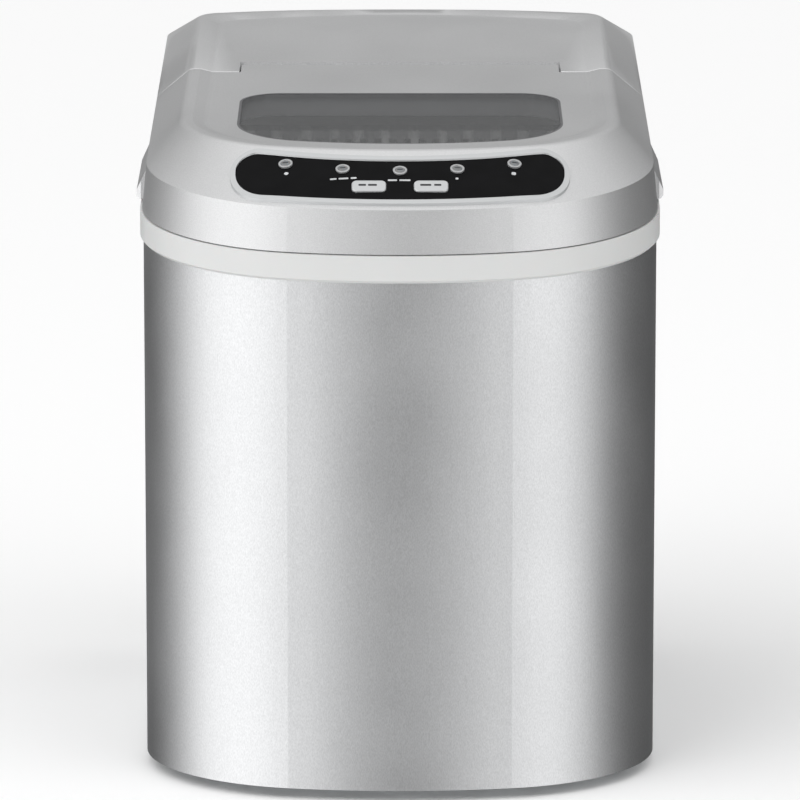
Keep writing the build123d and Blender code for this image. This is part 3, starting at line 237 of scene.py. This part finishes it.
def flakePaint(name, look):
    # metal flakes under a satin lacquer, with a little orange peel
    paint, shader = newPaint(name, look)
    flakes = noiseAt(paint, look["flakes"], 2.0, look.get("stretch", (1, 1, 1)))
    tint(paint, shader, flakes, shade(look["colour"], 1 - look["sparkle"]),
         shade(look["colour"], 1 + look["sparkle"]))
    patches = noiseAt(paint, 14, 3.0)
    join(paint, spread(paint, patches, look["roughness"] - 0.03, look["roughness"] + 0.04),
         shader, 0, "Roughness")
    fine = bump(paint, shader, flakes, look["grain"])
    bump(paint, shader, noiseAt(paint, 420, 2.0), look["peel"], under=fine)
    return paint


def mouldedPaint(name, look):
    # moulded plastic: fine spark-eroded grain, soft flow marks and faint handling haze
    paint, shader = newPaint(name, look)
    flow = noiseAt(paint, look.get("flow", 22), 4.0, (1, 1, 0.35))
    tint(paint, shader, flow, shade(look["colour"], 1 - look.get("vary", 0.03)), look["colour"])
    haze = noiseAt(paint, 60, 5.0)
    join(paint, spread(paint, haze, look["roughness"] - 0.04, look["roughness"] + 0.06),
         shader, 0, "Roughness")
    bump(paint, shader, noiseAt(paint, look.get("grainScale", 1500), 3.0), look.get("grain", 0.00003))
    shader.inputs["Subsurface Weight"].default_value = look.get("soft", 0)
    shader.inputs["Subsurface Scale"].default_value = 0.002
    return paint


def filmPaint(name, look):
    # printed gloss film, smooth with a very faint ripple from the glue below
    paint, shader = newPaint(name, look)
    ripple = noiseAt(paint, 90, 2.0)
    tint(paint, shader, ripple, shade(look["colour"], 0.8), shade(look["colour"], 1.3))
    join(paint, spread(paint, noiseAt(paint, 700, 4.0), look["roughness"], look["roughness"] + 0.05),
         shader, 0, "Roughness")
    bump(paint, shader, ripple, 0.00004)
    return paint


def clearPaint(name, look):
    # clear plastic: mostly see-through, with faint hairlines in the gloss
    paint, shader = newPaint(name, look)
    shader.inputs["Alpha"].default_value = look["alpha"]
    hairs = noiseAt(paint, 260, 4.0, (1, 9, 1))
    join(paint, spread(paint, hairs, look["roughness"], look["roughness"] + 0.07),
         shader, 0, "Roughness")
    tint(paint, shader, noiseAt(paint, 30, 3.0), shade(look["colour"], 0.93), look["colour"])
    bump(paint, shader, noiseAt(paint, 45, 1.0), 0.00003)
    return paint


def brushedPaint(name, look):
    # plated or brushed metal: lines one way, with small pits
    paint, shader = newPaint(name, look)
    lines = noiseAt(paint, look["lines"], 4.0, look.get("stretch", (1, 12, 12)))
    tint(paint, shader, lines, shade(look["colour"], 0.86), shade(look["colour"], 1.06))
    join(paint, spread(paint, lines, look["roughness"] - 0.05, look["roughness"] + 0.09),
         shader, 0, "Roughness")
    bump(paint, shader, lines, 0.00002)
    return paint


def spanglePaint(name, look):
    # hot-dipped zinc: crystals of slightly different shine
    paint, shader = newPaint(name, look)
    crystals = noiseAt(paint, look["crystals"], kind="ShaderNodeTexVoronoi")
    split = addNode(paint, "ShaderNodeSeparateColor")
    join(paint, crystals, split, "Color", 0)
    tint(paint, shader, split, shade(look["colour"], 0.82), shade(look["colour"], 1.12), edges=(0, 1))
    join(paint, spread(paint, split, look["roughness"] - 0.08, look["roughness"] + 0.12, edges=(0, 1)),
         shader, 0, "Roughness")
    bump(paint, shader, noiseAt(paint, 900, 3.0), 0.00002)
    return paint


def tubePaint(name, look):
    # drawn tube with dull oxide clouds and polished stretches
    paint, shader = newPaint(name, look)
    clouds = noiseAt(paint, look["clouds"], 6.0)
    tint(paint, shader, clouds, shade(look["colour"], 0.62), look["colour"], edges=(0.35, 0.62))
    join(paint, spread(paint, clouds, look["roughness"] + 0.18, look["roughness"]),
         shader, 0, "Roughness")
    bump(paint, shader, noiseAt(paint, 600, 3.0, (1, 1, 0.1)), 0.00003)
    return paint


def beadPaint(name, look):
    # expanded foam: pressed beads with dark seams between them
    paint, shader = newPaint(name, look)
    beads = noiseAt(paint, look["beads"], kind="ShaderNodeTexVoronoi")
    tint(paint, shader, beads, look["colour"], shade(look["colour"], 0.8), "Distance", (0.35, 0.75))
    join(paint, spread(paint, beads, look["roughness"] - 0.1, look["roughness"], "Distance"),
         shader, 0, "Roughness")
    bump(paint, shader, beads, 0.0004, "Distance")
    return paint


def boardPaint(name, look):
    # green solder mask over copper tracks, with tinned pads
    paint, shader = newPaint(name, look)
    tracks = noiseAt(paint, look["tracks"], kind="ShaderNodeTexBrick")
    tracks.inputs["Color1"].default_value = (*look["colour"], 1)
    tracks.inputs["Color2"].default_value = (*shade(look["colour"], 1.5), 1)
    tracks.inputs["Mortar"].default_value = (*shade(look["colour"], 2.4), 1)
    tracks.inputs["Mortar Size"].default_value = 0.04
    join(paint, tracks, shader, "Color", "Base Color")
    join(paint, spread(paint, noiseAt(paint, 300), look["roughness"], look["roughness"] + 0.15),
         shader, 0, "Roughness")
    bump(paint, shader, tracks, 0.0001, "Fac")
    return paint


def rubberPaint(name, look):
    # moulded rubber: bloom that greys it in patches over a dull grain
    paint, shader = newPaint(name, look)
    bloom = noiseAt(paint, 35, 6.0)
    tint(paint, shader, bloom, look["colour"], shade(look["colour"], 1.8), edges=(0.45, 0.8))
    join(paint, spread(paint, bloom, look["roughness"] - 0.08, look["roughness"] + 0.06),
         shader, 0, "Roughness")
    bump(paint, shader, noiseAt(paint, 1100, 4.0), 0.00006)
    return paint


def shadeAndGlintPaint(name, look):
    # white moulding whose ribbed front carries painted shade: darker, with pale upright streaks that
    # are painted highlights of the evaporator fingers
    paint, shader = newPaint(name, look)
    place = addNode(paint, "ShaderNodeTexCoord")
    split = addNode(paint, "ShaderNodeSeparateXYZ")
    join(paint, place, split, "Object", 0)
    low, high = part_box(name)
    brow = (low[1] + high[1]) / 2 + look["brow"]
    rear = addNode(paint, "ShaderNodeMapRange", {
        "From Min": brow - 0.0015, "From Max": brow + 0.0015, "To Min": 0.0, "To Max": 1.0})
    join(paint, split, rear, "Y", "Value")
    streaks = noiseAt(paint, look["streaks"], kind="ShaderNodeTexWave")
    streaks.inputs["Distortion"].default_value = look["wander"]
    # the front's colour: painted shade, lifted to painted highlights along the upright streaks
    ramp = addNode(paint, "ShaderNodeValToRGB")
    ramp.color_ramp.elements[0].position = 0.55
    ramp.color_ramp.elements[0].color = (*shade(look["colour"], look["dim"]), 1)
    ramp.color_ramp.elements[1].color = (*shade(look["colour"], look["bright"]), 1)
    join(paint, streaks, ramp, "Color", "Fac")
    # the rear top keeps the moulding's own pale tone, varied at random
    rearOwnTone = addNode(paint, "ShaderNodeValToRGB")
    rearOwnTone.color_ramp.elements[0].color = (*shade(look["colour"], 0.94), 1)
    rearOwnTone.color_ramp.elements[1].color = (*look["colour"], 1)
    join(paint, noiseAt(paint, 30, 4.0), rearOwnTone, 0, "Fac")
    blend = addNode(paint, "ShaderNodeMix", data_type="RGBA")
    join(paint, rear, blend, 0, 0)
    join(paint, ramp, blend, "Color", 6)
    join(paint, rearOwnTone, blend, "Color", 7)
    join(paint, blend, shader, 2, "Base Color")
    haze = noiseAt(paint, 60, 5.0)
    join(paint, spread(paint, haze, look["roughness"] - 0.05, look["roughness"] + 0.08),
         shader, 0, "Roughness")
    bump(paint, shader, streaks, 0.0001, "Fac")
    return paint


finishes = {
    "silver_enamel": (flakePaint, {
        "colour": (0.60, 0.605, 0.612), "metallic": 0.92, "roughness": 0.37, "flakes": 2600,
        "sparkle": 0.10, "grain": 0.000012, "peel": 0.000004, "stretch": (1, 1, 0.35)}),
    "silver_plastic": (flakePaint, {
        "colour": (0.60, 0.603, 0.607), "metallic": 0.80, "roughness": 0.42, "flakes": 2200,
        "sparkle": 0.07, "grain": 0.000010, "peel": 0.000008}),
    "pale_plastic": (mouldedPaint, {"colour": (0.61, 0.615, 0.61), "roughness": 0.42, "soft": 0.05}),
    "white_plastic": (mouldedPaint, {
        "colour": (0.80, 0.805, 0.80), "roughness": 0.30, "grain": 0.00001, "soft": 0.08}),
    "clear_plastic": (clearPaint, {"colour": (0.72, 0.74, 0.75), "roughness": 0.05, "alpha": 0.30}),
    "black_gloss": (filmPaint, {
        "colour": (0.003, 0.003, 0.0034), "roughness": 0.28, "shine": 0.04}),
    "trim_plastic": (mouldedPaint, {
        "colour": (0.50, 0.51, 0.515), "roughness": 0.34, "metallic": 0.35, "grain": 0.00001}),
    "lens_plastic": (mouldedPaint, {"colour": (0.40, 0.41, 0.42), "roughness": 0.30, "soft": 0.1}),
    "black_rubber": (rubberPaint, {"colour": (0.022, 0.022, 0.024), "roughness": 0.78}),
    "dark_plastic": (mouldedPaint, {
        "colour": (0.045, 0.045, 0.048), "roughness": 0.48, "vary": 0.25, "grain": 0.00008,
        "grainScale": 1200}),
    "plated_steel": (brushedPaint, {
        "colour": (0.60, 0.61, 0.62), "metallic": 1.0, "roughness": 0.26, "lines": 500}),
    "galvanised": (spanglePaint, {
        "colour": (0.50, 0.52, 0.53), "metallic": 0.9, "roughness": 0.42, "crystals": 95}),
    "nickel": (tubePaint, {
        "colour": (0.68, 0.66, 0.62), "metallic": 1.0, "roughness": 0.16, "clouds": 60}),
    "copper": (tubePaint, {
        "colour": (0.72, 0.36, 0.22), "metallic": 1.0, "roughness": 0.24, "clouds": 45}),
    "black_enamel": (rubberPaint, {"colour": (0.016, 0.016, 0.018), "roughness": 0.32}),
    "aluminium": (brushedPaint, {
        "colour": (0.74, 0.75, 0.76), "metallic": 1.0, "roughness": 0.30, "lines": 700,
        "stretch": (12, 1, 12)}),
    "foam": (beadPaint, {"colour": (0.78, 0.78, 0.75), "roughness": 0.85, "beads": 260}),
    "circuit_board": (boardPaint, {"colour": (0.012, 0.10, 0.035), "roughness": 0.28, "tracks": 90}),
    "clear_hose": (clearPaint, {"colour": (0.66, 0.69, 0.69), "roughness": 0.25, "alpha": 0.55}),
}

paints = {slot: maker(slot, look) for slot, (maker, look) in finishes.items()}

# nodes that show another finish than their slot's usual one
oddFinishes = {
    "lid_window": (clearPaint, {"colour": (0.24, 0.245, 0.25), "roughness": 0.06, "alpha": 0.26}),
    "ice_scoop": (clearPaint, {"colour": (0.70, 0.74, 0.78), "roughness": 0.10, "alpha": 0.55}),
    "window_gasket": (mouldedPaint, {"colour": (0.10, 0.10, 0.105), "roughness": 0.4}),
    "lid_liner": (mouldedPaint, {"colour": (0.13, 0.134, 0.138), "roughness": 0.38}),
    # the evaporator cover: painted shade over its ribbed front, with painted highlight streaks; dim and
    # bright are their shares of the colour
    "evaporator_cover": (shadeAndGlintPaint, {
        "colour": (0.93, 0.935, 0.935), "roughness": 0.42, "streaks": 24.0, "wander": 2.6,
        "dim": 0.30, "bright": 0.75, "brow": -0.004}),
}


def finishNodes():
    for part in frame["record"]["subparts"]:
        name = part["node"]
        paint = paints[part["material_slot"]]
        if name in oddFinishes:
            maker, look = oddFinishes[name]
            paint = maker(name, look)
        node = nodes[name]
        node.data.materials.clear()
        node.data.materials.append(paint)


finishNodes()
print("finishes:", len(paints) + len(oddFinishes))


# pieces modelled here: each starts from a primitive at the origin, top side up, and is then placed

def clearSelection():
    bpy.ops.object.select_all(action="DESELECT")


def unpickAll(piece):
    bpy.ops.object.mode_set(mode="OBJECT")
    for part in (piece.data.vertices, piece.data.edges, piece.data.polygons):
        part.foreach_set("select", [False] * len(part))


def pickFaces(piece, wanted):
    # face select mode with only the wanted faces picked
    unpickAll(piece)
    for face in piece.data.polygons:
        face.select = wanted(face)
    bpy.ops.object.mode_set(mode="EDIT")
    bpy.ops.mesh.select_mode(type="FACE")


def pickEdges(piece, wanted):
    # edge select mode; wanted is asked with each edge's two ends
    unpickAll(piece)
    spots = [v.co.copy() for v in piece.data.vertices]
    for edge in piece.data.edges:
        edge.select = wanted(spots[edge.vertices[0]], spots[edge.vertices[1]])
    bpy.ops.object.mode_set(mode="EDIT")
    bpy.ops.mesh.select_mode(type="EDGE")


def highFaces(piece):
    top = max(v.co.z for v in piece.data.vertices)
    return lambda face: face.center.z > top - 1e-6


def addModifier(piece, kind, **settings):
    modifier = piece.modifiers.new(kind, kind)
    for key, value in settings.items():
        setattr(modifier, key, value)
    bpy.context.view_layer.objects.active = piece
    bpy.ops.object.modifier_apply(modifier=modifier.name)


def softEdges(piece, width, segments=2):
    addModifier(piece, "BEVEL", width=width, segments=segments, limit_method="ANGLE",
                angle_limit=math.radians(35))


def finishPiece(piece, name, paint, body, place=None):
    # sets the mesh in place, its finish and the body it rides on
    bpy.ops.object.mode_set(mode="OBJECT")
    piece.name = name
    piece.data.name = name
    if place is not None:
        piece.data.transform(place)
    piece.data.materials.clear()
    piece.data.materials.append(paint)
    clearSelection()
    piece.select_set(True)
    bpy.context.view_layer.objects.active = piece
    bpy.ops.object.shade_smooth_by_angle(angle=math.radians(32))
    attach(piece, body)
    clearSelection()
    return piece


def copyOf(piece):
    twin = piece.copy()
    twin.data = piece.data.copy()
    bpy.context.scene.collection.objects.link(twin)
    return twin


def joinAll(pieces):
    clearSelection()
    for piece in pieces:
        piece.select_set(True)
    bpy.context.view_layer.objects.active = pieces[0]
    bpy.ops.object.join()
    return pieces[0]


def faceUpFrame(spot, up):
    # a frame on the surface: z out of it, x to the right, y up the slope
    right = Vector((0, 1, 0)).cross(up).normalized()
    if right.x < 0:
        right.negate()
    along = up.cross(right)
    turn = Matrix((right, along, up)).transposed().to_4x4()
    return Matrix.Translation(spot) @ turn


def onNode(name, spot, aim):
    # where a line from spot along aim first meets the node, and the way the surface faces there
    node = nodes[name]
    back = node.matrix_world.inverted()
    hit, place, normal, _ = node.ray_cast(back @ spot, back.to_3x3() @ aim)
    if not hit:
        raise ValueError("no surface of " + name + " is met")
    return node.matrix_world @ place, (node.matrix_world.to_3x3() @ normal).normalized()


def topSpots(name, count, width):
    # the middles of a node's separate tops, left to right
    low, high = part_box(name)
    step = (high[0] - low[0] - width) / (count - 1) if count > 1 else 1
    sums = [[Vector(), Vector(), 0.0] for _ in range(count)]
    mesh = nodes[name].data
    place = nodes[name].matrix_world
    for face in mesh.polygons:
        if face.normal.z < 0.7:
            continue
        centre = place @ face.center
        row = sums[min(count - 1, max(0, round((centre.x - low[0] - width / 2) / step)))]
        row[0] += centre * face.area
        row[1] += face.normal * face.area
        row[2] += face.area
    return [(spot / area, up.normalized()) for spot, up, area in sums]


indicator = {
    "count": 5, "cadWidth": 0.006, "radius": 0.00325, "flange": 0.00105, "depth": 0.0013,
    "proud": 0.0003, "sink": 0.00045, "ringRound": 0.00022,
    "lensGap": 0.00012, "lensDepth": 0.0005, "lensRound": 0.00008,
    "domeInset": 0.19, "domeSteps": (0.30, 0.45, 0.55), "crown": 0.0003, "ease": 1.7,
    "slit": (0.0027, 0.00055, 0.00012), "slitRound": 0.00025, "probe": 0.01,
}


def makeIndicators():
    # bright flanged rings, each with a domed lens and the dark slit of its lamp
    paints["indicator_ring"] = brushedPaint("indicator_ring", {
        "colour": (0.42, 0.425, 0.43), "metallic": 0.6, "roughness": 0.40, "lines": 900,
        "stretch": (1, 1, 1)})
    paints["indicator_lens"] = mouldedPaint("indicator_lens", {
        "colour": (0.20, 0.205, 0.21), "roughness": 0.35, "soft": 0.1, "shine": 0.3})
    paints["indicator_slit"] = filmPaint("indicator_slit", {
        "colour": (0.02, 0.021, 0.023), "roughness": 0.30, "shine": 0.3})
    clearSelection()
    bpy.ops.mesh.primitive_cylinder_add(
        vertices=56, radius=indicator["radius"], depth=indicator["depth"],
        location=(0, 0, indicator["proud"] - indicator["depth"] / 2))
    ring = bpy.context.object
    bpy.ops.object.transform_apply(location=True, rotation=True, scale=True)
    pickFaces(ring, highFaces(ring))
    bpy.ops.mesh.inset(thickness=indicator["flange"])
    bpy.ops.mesh.extrude_region_move(TRANSFORM_OT_translate={"value": (0, 0, -indicator["sink"])})
    bpy.ops.object.mode_set(mode="OBJECT")
    softEdges(ring, indicator["ringRound"], 3)

    bpy.ops.mesh.primitive_cylinder_add(
        vertices=48, radius=indicator["radius"] - indicator["flange"] - indicator["lensGap"],
        depth=indicator["lensDepth"], location=(0, 0, indicator["proud"] - indicator["sink"]))
    lens = bpy.context.object
    bpy.ops.object.transform_apply(location=True, rotation=True, scale=True)
    for share in indicator["domeSteps"]:
        pickFaces(lens, highFaces(lens))
        bpy.ops.mesh.inset(thickness=indicator["radius"] * indicator["domeInset"])
        rise = indicator["crown"] * (1 - share) / indicator["ease"]
        bpy.ops.transform.translate(value=(0, 0, rise))
    bpy.ops.object.mode_set(mode="OBJECT")
    softEdges(lens, indicator["lensRound"])
    crest = max(v.co.z for v in lens.data.vertices)

    bpy.ops.mesh.primitive_cube_add(size=1, location=(0, 0, crest))
    slit = bpy.context.object
    slit.scale = indicator["slit"]
    bpy.ops.object.transform_apply(location=True, rotation=True, scale=True)
    pickEdges(slit, lambda a, b: abs(a.z - b.z) > 1e-5)
    bpy.ops.mesh.bevel(offset=indicator["slitRound"], segments=4)
    bpy.ops.object.mode_set(mode="OBJECT")

    tops = topSpots("indicator_lenses", indicator["count"], indicator["cadWidth"])
    for number, (spot, up) in enumerate(tops):
        ground, _ = onNode("indicator_lenses", spot + up * indicator["probe"], -up)
        place = faceUpFrame(ground, up)
        for model, name, paint in ((ring, "indicatorRing", "indicator_ring"),
                                   (lens, "indicatorLens", "indicator_lens"),
                                   (slit, "indicatorSlit", "indicator_slit")):
            finishPiece(copyOf(model), name + str(number), paints[paint], "lid", place)
    for model in (ring, lens, slit):
        bpy.data.objects.remove(model)
    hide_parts("indicator_lenses")
    return tops


# small printed marks; each is its place across and up from the seat, its width, height and turn
printed = {
    "thick": 0.00006, "drop": 0.0068, "rise": 0.00003, "probe": 0.01, "roundShare": 0.3,
    "marks": (
        ((0.0, 0.0, 0.0018, 0.0018, 45),),
        ((-0.0044, 0.0, 0.0030, 0.0011, 0), (0.0002, 0.0, 0.0044, 0.0011, 0),
         (0.0048, 0.0, 0.0026, 0.0011, 0)),
        ((-0.0034, 0.0, 0.0042, 0.0011, 0), (0.0022, 0.0, 0.0050, 0.0011, 0)),
        ((0.0, 0.0, 0.0013, 0.0013, 0),),
        ((0.0, 0.0, 0.0020, 0.0020, 0),),
    ),
    "onButtons": {
        "power_button": ((-0.0030, 0.0, 0.0034, 0.0012, 0), (0.0016, 0.0, 0.0040, 0.0012, 0)),
        "select_button": ((-0.0024, 0.0, 0.0050, 0.0012, 0), (0.0030, 0.0, 0.0032, 0.0012, 0)),
    },
}


def printedMark(width, height, turn):
    # a thin plate with rounded corners
    clearSelection()
    bpy.ops.mesh.primitive_cube_add(size=1, location=(0, 0, printed["rise"]))
    mark = bpy.context.object
    mark.scale = (width, height, printed["thick"])
    bpy.ops.object.transform_apply(location=True, rotation=True, scale=True)
    pickEdges(mark, lambda a, b: abs(a.z - b.z) > 1e-6)
    bpy.ops.mesh.bevel(offset=min(width, height) * printed["roundShare"], segments=3)
    bpy.ops.object.mode_set(mode="OBJECT")
    mark.data.transform(Matrix.Rotation(math.radians(turn), 4, "Z"))
    return mark


def makePrintedMarks(tops):
    light = filmPaint("printed_light", {"colour": (0.52, 0.53, 0.54), "roughness": 0.45, "shine": 0.2})
    dark = filmPaint("printed_dark", {"colour": (0.025, 0.026, 0.028), "roughness": 0.45, "shine": 0.2})
    laid = []
    for (spot, up), marks in zip(tops, printed["marks"]):
        seat = faceUpFrame(spot, up)
        for x, y, width, height, turn in marks:
            start = seat @ Vector((x, y - printed["drop"], printed["probe"]))
            ground, facing = onNode("control_overlay", start, -up)
            mark = printedMark(width, height, turn)
            mark.data.transform(faceUpFrame(ground, facing))
            laid.append(mark)
    finishPiece(joinAll(laid), "lampMarks", light, "lid")
    for name, marks in printed["onButtons"].items():
        (spot, up), = topSpots(name, 1, 0.0)
        seat = faceUpFrame(spot, up)
        laid = []
        for x, y, width, height, turn in marks:
            ground, facing = onNode(name, seat @ Vector((x, y, printed["probe"])), -up)
            mark = printedMark(width, height, turn)
            mark.data.transform(faceUpFrame(ground, facing))
            laid.append(mark)
        finishPiece(joinAll(laid), name + "Mark", dark, name)


rearCover = {
    "lip": 0.0014, "flat": 0.00005, "weld": 0.00002, "level": 0.5,
    "reach": 0.004, "shortest": 0.0004, "steepest": 0.02,
}


def makeRearCover():
    # the rear cover again, with the shining rolled lip along the seam that the lid closes on
    clearSelection()
    cover = copyOf(nodes["rear_top_cover"])
    cover.parent = None
    cover.matrix_world = Matrix.Identity(4)
    cover.select_set(True)
    bpy.context.view_layer.objects.active = cover
    bpy.ops.object.mode_set(mode="EDIT")
    bpy.ops.mesh.select_all(action="SELECT")
    bpy.ops.mesh.remove_doubles(threshold=rearCover["weld"])
    bpy.ops.mesh.dissolve_limited(angle_limit=math.radians(rearCover["level"]))
    bpy.ops.object.mode_set(mode="OBJECT")
    front = min(v.co.y for v in cover.data.vertices)
    low = sum(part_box("rear_top_cover")[i][2] for i in (0, 1)) / 2

    def onSeam(a, b):
        middle = (a + b) / 2
        flat = abs(a.y - front) < rearCover["flat"] and abs(b.y - front) < rearCover["flat"]
        high = middle.z > low - rearCover["reach"]
        long = (a - b).length > rearCover["shortest"]
        return flat and high and long and abs(a.z - b.z) < rearCover["steepest"]

    pickEdges(cover, onSeam)
    bpy.ops.mesh.bevel(offset=rearCover["lip"], segments=2, clamp_overlap=True)
    finishPiece(cover, "rearCoverLipped", paints["silver_plastic"], "cabinet")
    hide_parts("rear_top_cover")


lampTops = makeIndicators()
print("indicators are in their rings")
makePrintedMarks(lampTops)
print("printed marks are laid")
makeRearCover()
print("rear cover has its lip")
